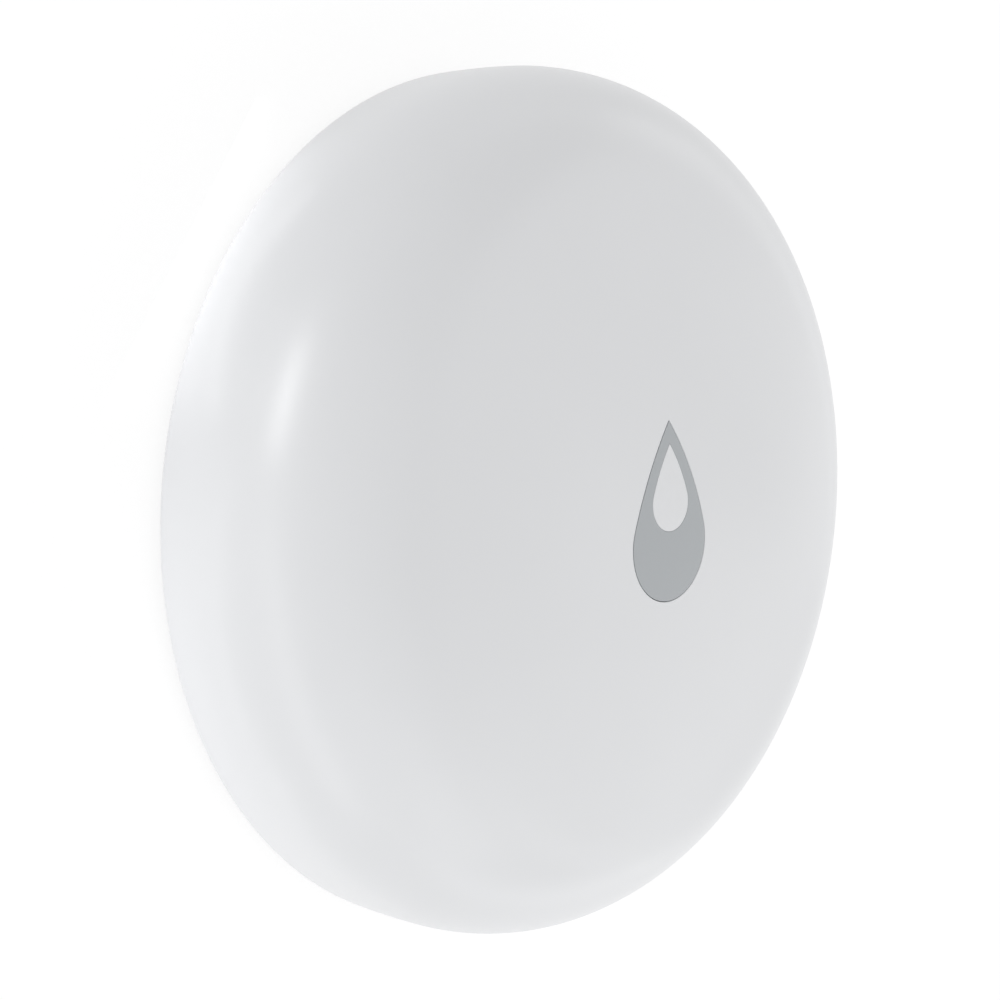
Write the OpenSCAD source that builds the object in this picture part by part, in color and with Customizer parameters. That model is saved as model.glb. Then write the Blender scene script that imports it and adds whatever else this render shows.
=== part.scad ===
// Round water leak sensor: a domed puck that lies on the floor and senses water
// between two metal probes on its underside. A coin cell sits behind a twist-off
// cover, and the drop in the middle of the dome is a key with a light window in it.
// Millimetres, +Z up, origin on the floor under the middle of the dome.

/* [Cover] */
// Diameter of the body at its belly
body_d = 50; // [45:1:60]
// Height of the dome's top above the floor
body_h = 15; // [13.5:0.1:18]
// Height of the belly, where the shoulder starts, above the floor
belly_z = 4.6; // [4.5:0.1:5.2]
// Radius of the shoulder between the belly and the dome
shoulder_r = 8.7; // [7.6:0.1:8.8]
// Radius of the slow bulge of the wall below the belly
side_r = 40; // [30:1:80]
// Radius of the cover's lower edge
lower_edge_r = 0.8; // [0.6:0.1:1.4]
// Thickness of the dome and the shoulder
wall = 1.8; // [1.5:0.1:2]
// Thickness of the rim around the base plate
rim_wall = 2.3; // [2.1:0.1:2.6]
// Height of the rim's bore, up to the ledge that the hooks catch
rim_h = 4; // [3.6:0.1:4.1]

/* [Drop key] */
// Distance from the middle of the dome to the drop's tip
drop_tip = 5.4; // [4.8:0.1:5.6]
// Radius of the drop's round end
drop_bulb_r = 3.25; // [2.6:0.05:3.6]
// Distance from the middle of the dome back to the middle of the round end
drop_bulb_back = 1.5; // [1.2:0.1:2]
// Radius of the drop's two curved flanks
drop_flank_r = 19; // [14:1:40]
// Distance from the middle of the dome to the light window's tip
window_tip = 4.1; // [3.6:0.1:4.3]
// Radius of the light window's round end
window_bulb_r = 1.6; // [1.2:0.1:1.7]
// Distance from the middle of the dome to the middle of the window's round end
window_bulb_fwd = 0.8; // [0.5:0.1:1]
// Radius of the light window's two flanks
window_flank_r = 11; // [6:1:20]
// Radius of the flange that keeps the key in the cover
key_flange_r = 5.9; // [5.7:0.1:6.2]
// Thickness of that flange
key_flange_t = 0.6; // [0.5:0.05:0.8]

/* [Key seal] */
// Thickness of the silicone sheet under the key
membrane_t = 0.5; // [0.4:0.05:0.6]
// Width of the sheet's edge that is clamped
membrane_edge = 1; // [0.8:0.1:1.4]
// Thickness of the clamping ring
retainer_t = 0.8; // [0.6:0.1:1]
// Radius of the moulded rivets that hold the ring
rivet_r = 0.6; // [0.5:0.05:0.8]
// Height of a rivet's head
rivet_head_h = 0.5; // [0.3:0.1:0.6]
// Number of those rivets
rivets = 3; // [3:1:6]

/* [Base plate] */
// Thickness of the base plate
plate_t = 2; // [1.8:0.1:2.2]
// Bevel on the edges of the underside's mouldings
edge_break = 0.2; // [0.1:0.05:0.25]
// Height of the feet below the base plate
foot_h = 0.4; // [0.3:0.05:0.5]
// Diameter of a foot
foot_d = 4; // [3:0.2:5]
// Depth of the pocket that a foot is glued into
foot_pocket = 0.5; // [0.3:0.1:0.7]
// Number of feet
feet = 4; // [4, 6]
// Thickness of the seal ring between base plate and cover
case_seal_d = 0.9; // [0.7:0.05:1]
// Number of snap hooks
hooks = 4; // [2:2:8]
// Angle that a hook spans
hook_span = 14; // [8:1:20]
// Thickness of a hook
hook_t = 1.1; // [0.8:0.1:1.3]
// Depth of the marks in the underside
mark_depth = 0.2; // [0.1:0.05:0.3]
// Size of those marks
mark_d = 1; // [0.8:0.1:1.2]

/* [Coin cell] */
// Diameter of the coin cell
cell_d = 20; // [18:0.5:22]
// Thickness of the coin cell
cell_h = 3.2; // [2.5:0.1:3.4]
// Distance from the can's edge in to the cap's edge
cell_cap_inset = 1.3; // [1:0.1:1.6]
// Width of the ring between can and cap
cell_gasket_w = 0.5; // [0.4:0.05:0.7]
// Height that the cap stands above the can
cell_cap_h = 0.5; // [0.3:0.05:0.6]
// Size of the crimp at the can's upper edge
cell_crimp = 0.3; // [0.2:0.05:0.4]

/* [Battery bay] */
// Thickness of the battery cover's floor
cover_floor = 2.6; // [2.4:0.1:2.8]
// Thickness of the battery cover's flange
flange_t = 1.15; // [1:0.05:1.2]
// Wall of the cup that the cell sits in
cup_wall = 0.75; // [0.6:0.05:0.9]
// How far a bayonet lug reaches past the cup
lug_reach = 1.1; // [0.9:0.1:1.2]
// Thickness of a lug
lug_t = 0.8; // [0.6:0.1:1]
// Angle that a lug spans
lug_span = 22; // [16:1:26]
// Angle that a lug's way in is wider than the lug
notch_play = 4; // [2:1:6]
// Number of lugs
lugs = 3; // [2:1:4]
// Angle that the cover turns from locked to open
twist = 40; // [32:1:44]
// Angle that a stop spans
stop_span = 5; // [3:1:6]
// Angle between a lug at the end of its turn and the stop
stop_play = 1; // [0.5:0.5:2]
// Thickness of the ledge that the lugs hold on to
ledge_t = 1.4; // [1.2:0.1:1.6]
// Thickness of the wall around the lugs and the cell
guide_t = 1.2; // [1:0.1:1.4]
// Height of that wall above the ledge
guide_h = 2.6; // [1.8:0.1:3]
// Thickness of the battery cover's seal ring
cover_seal_d = 0.72; // [0.6:0.02:0.74]
// Width of the coin slot
slot_w = 2.2; // [1.8:0.1:2.6]
// Length of the coin slot
slot_l = 15; // [12:0.5:17]
// Depth of the coin slot
slot_depth = 1.3; // [1:0.1:1.5]

/* [Probes] */
// Diameter of a probe's head
probe_head_d = 4.2; // [3.6:0.1:4.4]
// Thickness of a probe's head
probe_head_t = 0.9; // [0.7:0.1:1]
// How far a probe's head stands out of the base plate
probe_proud = 0.2; // [0.1:0.05:0.25]
// Diameter of a probe's thread
probe_thread_d = 2.5; // [2:0.1:2.6]
// How far a probe's thread goes into its standoff
probe_grip = 1.6; // [1.2:0.1:1.8]
// Thickness of the seal ring under a probe's head
probe_seal_d = 0.4; // [0.3:0.05:0.45]
// Width across the flats of a brass standoff
standoff_flats = 4.5; // [4:0.1:5]

/* [Circuit board] */
// Thickness of the circuit board
board_t = 1; // [0.8:0.1:1.2]
// Room between the coin cell and the board for the contact spring
contact_room = 1.3; // [1.1:0.1:1.4]
// Gap between the board's edge and the cover
board_gap = 1; // [0.8:0.1:1.6]
// Diameter of a board screw's thread
screw_d = 2; // [1.6:0.1:2.2]
// How far a board screw's thread goes in below the board
screw_grip = 2.4; // [1.8:0.1:2.6]
// Diameter of a board screw's head
screw_head_d = 3.8; // [3.2:0.1:4]
// Height of a board screw's head
screw_head_h = 1.2; // [1:0.1:1.4]
// Diameter of a moulded screw post
post_d = 4.4; // [4:0.1:5]

/* [Contact springs] */
// Thickness of the strip that both springs are bent from
strip_t = 0.2; // [0.15:0.05:0.3]
// Width of the strip
strip_w = 4; // [3:0.5:5]
// Length of the foot that is soldered to the board
strip_foot = 3; // [2:0.5:4]
// Length of the leaf from its foot to the middle of the cell
leaf_reach = 7; // [5:0.5:9]
// Half length of the leaf's flat end on the cell
leaf_nose = 1.5; // [1:0.1:2]

/* [Parts on the board] */
// Gap between the key seal's ring and the parts around it
part_gap = 1.5; // [1:0.1:2]
// Angle around the board of the radio
radio_turn = 25; // [22:1:28]
// Width of the radio's package
radio_w = 5; // [4:0.5:5.5]
// Height of the radio's package
radio_h = 0.9; // [0.7:0.1:1.2]
// Angle around the board of the crystal
crystal_turn = -25; // [-30:1:-20]
// Length of the crystal
crystal_l = 3.2; // [2:0.1:4]
// Width of the crystal
crystal_w = 2.5; // [1.6:0.1:3]
// Height of the crystal's base, and of the lid on it
crystal_h = 0.4; // [0.3:0.1:0.6]
// Width of the crystal's base around the lid
crystal_rim = 0.2; // [0.1:0.05:0.3]
// Angle around the board of the antenna
antenna_turn = 55; // [52:1:60]
// Length of the antenna
antenna_l = 7; // [5:0.5:8]
// Width of the antenna
antenna_w = 2; // [1.5:0.1:2.4]
// Height of the antenna
antenna_h = 1.2; // [0.8:0.1:1.4]
// Distance from the board's edge to the antenna's middle
antenna_edge = 2.5; // [2:0.1:3]
// Angle around the board of the bulk capacitor
bulk_turn = -60; // [-65:1:-45]
// Length of the bulk capacitor's body
bulk_l = 3.2; // [2.4:0.1:3.6]
// Width and height of the bulk capacitor's body
bulk_w = 1.6; // [1.2:0.1:1.8]
// How far the bulk capacitor's end plates stand out
bulk_end = 0.2; // [0.1:0.05:0.3]
// Length of a small capacitor or resistor
small_l = 1.6; // [1:0.1:1.8]
// Width of a small capacitor or resistor
small_w = 0.8; // [0.5:0.1:0.9]
// Height of a small resistor; a capacitor is as high as it is wide
resistor_h = 0.45; // [0.3:0.05:0.6]
// Spacing of the small parts in their rows
small_pitch = 1.7; // [1.4:0.1:2]
// Angle around the board of the first small capacitor
capacitor_turn = 115; // [105:1:125]
// Number of small capacitors
capacitors = 5; // [3:1:6]
// Angle around the board of the first small resistor
resistor_turn = 200; // [195:1:210]
// Number of small resistors
resistors = 6; // [3:1:7]

/* [Switch and light] */
// Size of the switch along X
switch_w = 4.2; // [3.6:0.1:4.6]
// Size of the switch along Y
switch_l = 3.2; // [2.8:0.1:3.4]
// Distance from the middle of the dome back to the switch's middle
switch_back = 2.6; // [2.4:0.1:3]
// Height of the switch without its stem
switch_h = 1; // [0.9:0.1:1.4]
// Thickness of the switch's metal top plate
switch_plate_t = 0.15; // [0.1:0.05:0.2]
// Diameter of the switch's stem
stem_d = 2; // [1.6:0.1:2.2]
// How far the stem stands out of the switch
stem_h = 0.4; // [0.35:0.05:0.6]
// Length of the stem inside the switch
stem_depth = 0.4; // [0.3:0.05:0.5]
// Travel of the key and the stem
key_travel = 0.25; // [0.15:0.05:0.3]
// Width of the light-emitting diode
led_w = 1.6; // [1:0.1:2]
// Height of the diode's base without its lens
led_h = 0.4; // [0.3:0.1:0.8]

/* [Fits] */
// Gap around a part that is pushed in or turns in a bore
fit_gap = 0.1; // [0.06:0.01:0.12]
// Gap between faces that bear on each other and slide
seat_gap = 0.05; // [0.03:0.01:0.08]
// Gap around the drop key
key_gap = 0.06; // [0.04:0.01:0.1]
// Gap around a seal ring in its groove
seal_gap = 0.02; // [0.01:0.01:0.04]
// Gap around the coin cell and around a turning lug
loose_gap = 0.35; // [0.3:0.05:0.4]

/* [Hidden] */
$fn = 96;

// A length that only makes a cut run past a face
over = 1;

// Outline of the dome: a sphere that runs into the shoulder without a kink
body_r = body_d / 2;
shoulder_c = body_r - shoulder_r;
rise = body_h - belly_z;
dome_r = (shoulder_c ^ 2 + rise ^ 2 - shoulder_r ^ 2) / (2 * (rise - shoulder_r));
dome_z = body_h - dome_r;
meet = [shoulder_c, belly_z - dome_z] / (dome_r - shoulder_r);
meet_far = [shoulder_c, belly_z] + meet * (shoulder_r + over);

// Outline of the wall below the belly, down to the middle of its lower edge's round
side_m = [body_r - side_r, belly_z];
edge_z = foot_h + lower_edge_r;
edge_m = [side_m[0] + sqrt((side_r - lower_edge_r) ^ 2 - (belly_z - edge_z) ^ 2), edge_z];
edge_far = side_m + (edge_m - side_m) * (side_r + over) / (side_r - lower_edge_r);

// Height of the dome, or of its inner face at a given inset, at a distance from the middle
function dome_at(r, inset) = dome_z + sqrt((dome_r - inset) ^ 2 - r ^ 2);
// Radius of the cover's inner shoulder at a height
function inner_r_at(z) = shoulder_c + sqrt((shoulder_r - wall) ^ 2 - max(0, z - belly_z) ^ 2);

// Underside: rim, base plate and feet
rim_z = foot_h;
bore_r = body_r - rim_wall;
ledge_z = rim_z + rim_h;
plate_r = bore_r - fit_gap;
plate_top = rim_z + plate_t;
hook_r = plate_r - fit_gap;
hook_catch = inner_r_at(ledge_z) - fit_gap - hook_r;
hook_top = ledge_z + seat_gap + 2 * hook_catch;

// Seal ring between base plate and cover
case_seal_r = bore_r - seal_gap - case_seal_d / 2;
case_groove_r = case_seal_r - case_seal_d / 2 - seal_gap;
case_groove_w = case_seal_d + 2 * fit_gap;
case_seal_z = rim_z + plate_t / 2;

// Battery cover, from the cell outwards and from the underside up
cup_ir = cell_d / 2 + loose_gap;
plug_r = cup_ir + cup_wall;
lug_r = plug_r + lug_reach;
notch_r = lug_r + 2 * fit_gap;
notch_span = lug_span + notch_play;
cover_groove_w = cover_seal_d + 2 * fit_gap;
cover_seal_r = notch_r + fit_gap + cover_groove_w / 2 + seal_gap;
flange_r = cover_seal_r + cover_groove_w / 2 + loose_gap;
flange_top = rim_z + flange_t;
seat_z = flange_top + seat_gap;
ledge_top = seat_z + ledge_t;
lug_z = ledge_top + seat_gap;
cup_top = lug_z + lug_t;
cover_seal_z = seat_z - seal_gap - cover_seal_d / 2;
guide_ir = lug_r + loose_gap;
guide_or = guide_ir + guide_t;
stop_at = lug_span / 2 + stop_play + stop_span / 2;
pointer_turn = twist / 2 - 90;

// Circle of the probes, posts and feet, midway between the battery bay and the seal ring
bay_r = max(flange_r + fit_gap, guide_or);
probe_at = (bay_r + case_groove_r) / 2;

// Coin cell: the cap and its ring go as deep into the can as the cap stands out
cell_z = rim_z + cover_floor + seat_gap;
cell_top = cell_z + cell_h;
cell_r = cell_d / 2;
cell_cap_r = cell_r - cell_cap_inset;
cell_cap_z = cell_top - 2 * cell_cap_h;
crimp_z = cell_top - cell_cap_h - cell_crimp;

// Circuit board and what stands on it
board_z = cell_top + contact_room;
board_top = board_z + board_t;
board_r = inner_r_at(board_top) - board_gap;
screw_hole_r = screw_d / 2 + fit_gap / 2;
screw_tip = board_z - screw_grip;
probe_hole_r = probe_thread_d / 2 + fit_gap / 2;
probe_head_z = rim_z - probe_proud;
probe_seal_z = probe_head_z + probe_head_t + probe_seal_d / 2;
probe_sink_z = probe_seal_z + probe_seal_d / 2 + seal_gap;
probe_tip = plate_top + probe_grip;
antenna_at = board_r - antenna_edge;

// Key, its seal and the switch under it
flange_z = dome_at(key_flange_r, wall) - fit_gap - key_flange_t;
membrane_z = flange_z - membrane_t;
membrane_r = key_flange_r + loose_gap + membrane_edge;
seat_ring_t = membrane_edge + loose_gap + fit_gap;
rivet_at = membrane_r + rivet_r + 3 * loose_gap;
retainer_r = rivet_at + 2 * rivet_r;
retainer_z = membrane_z - retainer_t;
rivet_turn = 30;
seat_ir = key_flange_r + loose_gap;
seat_or = seat_ir + seat_ring_t;
stem_top = board_top + switch_h + stem_h;

// Circle of the parts that stand on the board around the key's seal
parts_at = retainer_r + part_gap + radio_w / 2;
small_step = small_pitch / parts_at * 180 / PI;

// Turns between the probes and the things set around them
post_turn = 90;
foot_turn = 180 / feet;
hook_turn = 45 / 2;

// A screw's cross: its length as a share of the head, and its width as a share of its length
cross_length = 0.6;
cross_width = 0.2;

// Places spaced evenly on a circle, the first at an angle
module around(count, r, first = 0) {
    for (i = [0 : count - 1])
        rotate(first + i * 360 / count) translate([r, 0, 0]) children();
}

// A ring with a square section
module ring(inner, outer, z, h) {
    translate([0, 0, z]) difference() {
        cylinder(r = outer, h = h);
        translate([0, 0, -over]) cylinder(r = inner, h = h + 2 * over);
    }
}

// A ring with a round section
module seal_ring(r, section_d, z) {
    translate([0, 0, z]) rotate_extrude() translate([r, 0]) circle(d = section_d);
}

// A disc whose lower edge is bevelled
module bevelled_disc(r, z, h) {
    translate([0, 0, z]) cylinder(r1 = r - edge_break, r2 = r, h = edge_break);
    translate([0, 0, z + edge_break]) cylinder(r = r, h = h - edge_break);
}

// A cut for the bevelled mouth of a round hole in the underside
module mouth_bevel(r) {
    grown = edge_break + over;
    translate([0, 0, rim_z - over]) cylinder(r1 = r + grown, r2 = r, h = grown);
}

// A piece of a ring that spans an angle about a middle direction
module arc_block(inner, outer, z, h, middle, span) {
    translate([0, 0, z]) rotate([0, 0, middle - span / 2])
        rotate_extrude(angle = span) translate([inner, 0]) square([outer - inner, h]);
}

// A block that stands on a height and is centred on a point
module chip(at, size, z) {
    translate([at[0] - size[0] / 2, at[1] - size[1] / 2, z]) cube(size);
}

// A block on the board at an angle and a distance from the middle, its first size pointing outwards
module board_chip(turn, r, size) {
    rotate(turn) chip([r, 0], size, board_top);
}

// Outline of a drop: a round end and two flanks that touch it and cross at the tip.
// The tip and the round end lie along Y; grow moves the outline outwards.
function drop_outline(tip, bulb, bulb_r, flank_r, grow = 0) =
    let (
        reach = tip - bulb,
        arm = flank_r - bulb_r,
        lean = acos((reach ^ 2 - 2 * flank_r * bulb_r + bulb_r ^ 2) / (2 * reach * arm)),
        fx = arm * sin(lean),
        fy = bulb + arm * cos(lean),
        touch = lean - 90,
        tip_angle = acos(fx / (flank_r + grow)),
        flank = [for (i = [0 : 7]) touch + (tip_angle - touch) * i / 8],
        right = [for (a = flank) [(flank_r + grow) * cos(a) - fx, fy + (flank_r + grow) * sin(a)]],
        round_end = [for (i = [1 : 23]) 180 - touch + (180 + 2 * touch) * i / 24]
    )
    concat(
        right,
        [[0, fy + (flank_r + grow) * sin(tip_angle)]],
        [for (i = [7 : -1 : 0]) [-right[i][0], right[i][1]]],
        [for (a = round_end) [(bulb_r + grow) * cos(a), bulb + (bulb_r + grow) * sin(a)]]
    );

module drop_shape(grow = 0) {
    polygon(drop_outline(drop_tip, -drop_bulb_back, drop_bulb_r, drop_flank_r, grow));
}

module window_shape(grow = 0) {
    polygon(drop_outline(window_tip, window_bulb_fwd, window_bulb_r, window_flank_r, grow));
}

// Half section of the dome, taken in by a wall, with its edge cut back to the shoulder's round
module body_section(inset) {
    difference() {
        intersection() {
            translate([0, dome_z]) circle(r = dome_r - inset, $fn = 360);
            translate([0, belly_z]) square([body_r + over, body_h + over]);
        }
        difference() {
            polygon([
                [shoulder_c, belly_z], [shoulder_c, belly_z - over], [body_r + 2 * over, belly_z - over],
                [body_r + 2 * over, meet_far[1]], meet_far
            ]);
            translate([shoulder_c, belly_z]) circle(r = shoulder_r - inset);
        }
    }
}

// Half section of the bulging wall and the rounded lower edge that it runs into
module side_section() {
    intersection() {
        translate(side_m) circle(r = side_r, $fn = 360);
        polygon([[0, edge_z], edge_m, edge_far, [body_r + over, belly_z], [0, belly_z]]);
    }
    intersection() {
        translate(edge_m) circle(r = lower_edge_r);
        polygon([edge_m, edge_far, [body_r + over, rim_z - over], [edge_m[0], rim_z - over]]);
    }
    translate([0, rim_z]) square([edge_m[0], lower_edge_r]);
}

// The dome's outer face as a solid, to trim what lies flush with it
module dome_solid() {
    translate([0, 0, dome_z]) sphere(r = dome_r, $fn = 360);
}

// Glossy moulded cover with the ring and the rivets that hold the key's seal
module top_cover() color("#f1f2f3") {
    difference() {
        rotate_extrude() {
            body_section(0);
            side_section();
        }
        rotate_extrude() {
            body_section(wall);
            translate([0, ledge_z]) square([body_r - wall, belly_z - ledge_z]);
        }
        translate([0, 0, rim_z - over]) cylinder(r = bore_r, h = rim_h + 2 * over);
        translate([0, 0, board_top]) linear_extrude(body_h) drop_shape();
    }
    ring(seat_ir, seat_or, flange_z, dome_at(seat_or, wall / 2) - flange_z);
    around(rivets, rivet_at, rivet_turn) {
        translate([0, 0, retainer_z]) cylinder(r = rivet_r, h = dome_at(rivet_at, wall / 2) - retainer_z);
        translate([0, 0, retainer_z - rivet_head_h])
            cylinder(r1 = rivet_r, r2 = rivet_r + rivet_head_h, h = rivet_head_h);
    }
}

// Grey drop-shaped key, flush with the dome, with a flange under the cover
module drop_key() color("#aeb2b5") {
    difference() {
        union() {
            intersection() {
                translate([0, 0, flange_z]) linear_extrude(body_h) drop_shape(-key_gap);
                dome_solid();
            }
            translate([0, 0, flange_z]) cylinder(r = key_flange_r, h = key_flange_t);
        }
        translate([0, 0, flange_z - over]) linear_extrude(body_h) window_shape();
    }
}

// White translucent window in the key, lit from below
module light_window() color("#eceef0") {
    intersection() {
        translate([0, 0, flange_z]) linear_extrude(body_h) window_shape(-key_gap / 2);
        dome_solid();
    }
}

// Silicone sheet that keeps water out below the key, with a nub on the switch
module key_membrane() color("#d8dadb") {
    translate([0, 0, membrane_z]) cylinder(r = membrane_r, h = membrane_t);
    translate([0, -switch_back, stem_top]) cylinder(d = stem_d, h = membrane_z + membrane_t / 2 - stem_top);
}

// Ring that clamps the silicone sheet's edge against the cover
module membrane_retainer() color("#e3e4e5") {
    difference() {
        ring(key_flange_r, retainer_r, retainer_z, retainer_t);
        around(rivets, rivet_at, rivet_turn) translate([0, 0, retainer_z - over])
            cylinder(r = rivet_r + fit_gap / 2, h = retainer_t + 2 * over);
    }
}

// A hook that rises from the base plate and catches the rim's ledge
module hook(middle) {
    catch_z = ledge_z + seat_gap;
    rotate(middle - hook_span / 2) rotate_extrude(angle = hook_span) polygon([
        [hook_r - hook_t, plate_top - seat_gap], [hook_r, plate_top - seat_gap], [hook_r, catch_z],
        [hook_r + hook_catch, catch_z], [hook_r + hook_catch, catch_z + hook_catch],
        [hook_r, hook_top], [hook_r - hook_t, hook_top]
    ]);
}

// Moulded base: the bay's ledge for the battery cover, posts, hooks, sinks and pockets
module base_plate() color("#e9eaeb") {
    lug_step = 360 / lugs;
    difference() {
        union() {
            bevelled_disc(plate_r, rim_z, plate_t);
            translate([0, 0, rim_z]) cylinder(r = guide_or, h = ledge_top - rim_z);
            around(2, probe_at, post_turn)
                translate([0, 0, rim_z]) cylinder(d = post_d, h = board_z - rim_z);
        }
        translate([0, 0, rim_z - over]) cylinder(r = flange_r + fit_gap, h = seat_z - rim_z + over);
        mouth_bevel(flange_r + fit_gap);
        translate([0, 0, rim_z]) cylinder(r = plug_r + fit_gap, h = ledge_top);
        for (i = [0 : lugs - 1])
            arc_block(cup_ir, notch_r, rim_z, ledge_top, i * lug_step - twist, notch_span);
        ring(case_groove_r, plate_r + over, case_seal_z - case_groove_w / 2, case_groove_w);
        around(2, probe_at) {
            translate([0, 0, rim_z - over])
                cylinder(d = probe_head_d + 4 * fit_gap, h = probe_sink_z - rim_z + over);
            cylinder(r = probe_hole_r, h = board_z);
            mouth_bevel(probe_head_d / 2 + 2 * fit_gap);
        }
        around(feet, probe_at, foot_turn)
            translate([0, 0, rim_z - over]) cylinder(d = foot_d + 2 * fit_gap, h = foot_pocket + over);
        around(2, probe_at, post_turn)
            translate([0, 0, screw_tip - fit_gap]) cylinder(r = screw_hole_r, h = board_z);
        locked_mark();
        open_mark();
    }
    ring(guide_ir, guide_or, ledge_top - seat_gap, guide_h + seat_gap);
    for (i = [0 : lugs - 1], middle = [stop_at, -twist - stop_at])
        arc_block(
            plug_r + loose_gap, guide_ir + seat_gap, ledge_top - seat_gap, lug_t + seat_gap,
            i * lug_step + middle, stop_span
        );
    for (i = [0 : hooks - 1]) hook(i * 360 / hooks + hook_turn);
}

// Shallow bar on the base plate beside the battery cover's pointer when it is locked
module locked_mark() {
    rotate(pointer_turn) translate([flange_r + mark_d, -mark_d / 4, rim_z - over])
        cube([mark_d, mark_d / 2, mark_depth + over]);
}

// Shallow dot on the base plate beside the pointer when the cover is open
module open_mark() {
    rotate(pointer_turn - twist) translate([flange_r + 1.5 * mark_d, 0, rim_z - over])
        cylinder(d = mark_d, h = mark_depth + over);
}

// Silicone ring in the base plate's edge, pressed against the cover's rim
module case_seal() color("#c9cbcc") {
    seal_ring(case_seal_r, case_seal_d, case_seal_z);
}

// Soft feet, glued into pockets
module rubber_feet() color("#d5d6d7") {
    around(feet, probe_at, foot_turn) bevelled_disc(foot_d / 2, 0, foot_h + foot_pocket);
}

// Stainless screws whose heads are the probes
module probe_screws() color("#c4c6c8") {
    bevel = probe_head_t / 3;
    around(2, probe_at) difference() {
        union() {
            translate([0, 0, probe_head_z])
                cylinder(r1 = probe_head_d / 2 - bevel, r2 = probe_head_d / 2, h = bevel);
            translate([0, 0, probe_head_z + bevel]) cylinder(d = probe_head_d, h = probe_head_t - bevel);
            translate([0, 0, probe_head_z]) cylinder(d = probe_thread_d, h = probe_tip - probe_head_z);
        }
        cross_slot(probe_head_z - over, probe_head_d * cross_length, probe_head_t / 2 + over);
    }
}

// Cross for a screwdriver, cut up from a height
module cross_slot(z, length, depth) {
    width = length * cross_width;
    for (turn = [0, 90])
        translate([0, 0, z]) rotate(turn) translate([-length / 2, -width / 2, 0])
            cube([length, width, depth]);
}

// Small rings that seal the probes in the base plate
module probe_seals() color("#3a3b3d") {
    around(2, probe_at)
        seal_ring(probe_hole_r + probe_seal_d / 2 + seal_gap, probe_seal_d, probe_seal_z);
}

// Brass standoffs that carry the board and join it to the probes
module probe_standoffs() color("#c9a24a") {
    around(2, probe_at) difference() {
        translate([0, 0, plate_top])
            cylinder(d = standoff_flats / cos(30), h = board_z - plate_top, $fn = 6);
        cylinder(r = probe_hole_r, h = probe_tip + fit_gap);
        translate([0, 0, screw_tip - fit_gap]) cylinder(r = screw_hole_r, h = board_z);
    }
}

// Twist-off cover with a coin slot, a cup for the cell and bayonet lugs
module battery_cover() color("#eeeff0") {
    difference() {
        union() {
            bevelled_disc(flange_r, rim_z, flange_t);
            translate([0, 0, rim_z]) cylinder(r = plug_r, h = cup_top - rim_z);
            for (i = [0 : lugs - 1]) arc_block(cup_ir, lug_r, lug_z, lug_t, i * 360 / lugs, lug_span);
        }
        translate([0, 0, cell_z - seat_gap]) cylinder(r = cup_ir, h = cell_h);
        ring(
            cover_seal_r - cover_groove_w / 2, cover_seal_r + cover_groove_w / 2,
            cover_seal_z - cover_seal_d / 2 - seal_gap, cover_groove_w
        );
        coin_slot();
        pointer_mark();
    }
}

// Slot with round ends and a bevelled mouth for a coin
module coin_slot() {
    run = slot_l - slot_w;
    half = slot_w / 2;
    grown = edge_break + over;
    translate([-run / 2, 0, rim_z - over]) rotate([90, 0, 90]) linear_extrude(run)
        polygon([[-half - grown, 0], [half + grown, 0], [half, grown], [-half, grown]]);
    for (side = [-1, 1]) translate([side * run / 2, 0, 0]) mouth_bevel(half);
    translate([0, 0, rim_z - over]) {
        translate([-run / 2, -slot_w / 2, 0]) cube([run, slot_w, slot_depth + over]);
        for (side = [-1, 1])
            translate([side * run / 2, 0, 0]) cylinder(d = slot_w, h = slot_depth + over);
    }
}

// Shallow triangle at the battery cover's edge that points at the marks
module pointer_mark() {
    rotate(pointer_turn) translate([flange_r - 1.5 * mark_d, 0, rim_z - over])
        cylinder(r = mark_d, h = mark_depth + over, $fn = 3);
}

// Silicone ring in the battery cover's flange
module battery_cover_seal() color("#c9cbcc") {
    seal_ring(cover_seal_r, cover_seal_d, cover_seal_z);
}

// Positive can of the coin cell, crimped in at its upper edge
module coin_cell_can() color("#c8cacc") {
    difference() {
        union() {
            translate([0, 0, cell_z]) cylinder(r = cell_r, h = crimp_z - cell_z);
            translate([0, 0, crimp_z]) cylinder(r1 = cell_r, r2 = cell_r - cell_crimp, h = cell_crimp);
        }
        translate([0, 0, cell_cap_z]) cylinder(r = cell_cap_r + cell_gasket_w, h = cell_h);
    }
}

// Plastic ring that parts the can from the cap
module coin_cell_gasket() color("#2f3133") {
    ring(cell_cap_r, cell_cap_r + cell_gasket_w, cell_cap_z, 1.2 * cell_cap_h);
}

// Negative cap of the coin cell
module coin_cell_cap() color("#d2d4d6") {
    translate([0, 0, cell_cap_z]) cylinder(r = cell_cap_r, h = 2 * cell_cap_h);
}

// Bent strip under the board that presses on the side of the can
module positive_contact() color("#cfc9b4") {
    touch = cell_r + seal_gap;
    back = touch + 3 * strip_t;
    heel = back + strip_foot;
    low = cup_top + loose_gap;
    middle = (low + crimp_z) / 2;
    rotate([90, 0, 90]) translate([0, 0, -strip_w / 2]) linear_extrude(strip_w) polygon([
        [back, board_z], [heel, board_z], [heel, board_z - strip_t],
        [back + strip_t, board_z - strip_t], [back + strip_t, cell_top], [touch + strip_t, middle],
        [back + strip_t, low], [back, low], [touch, middle], [back, cell_top]
    ]);
}

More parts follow.
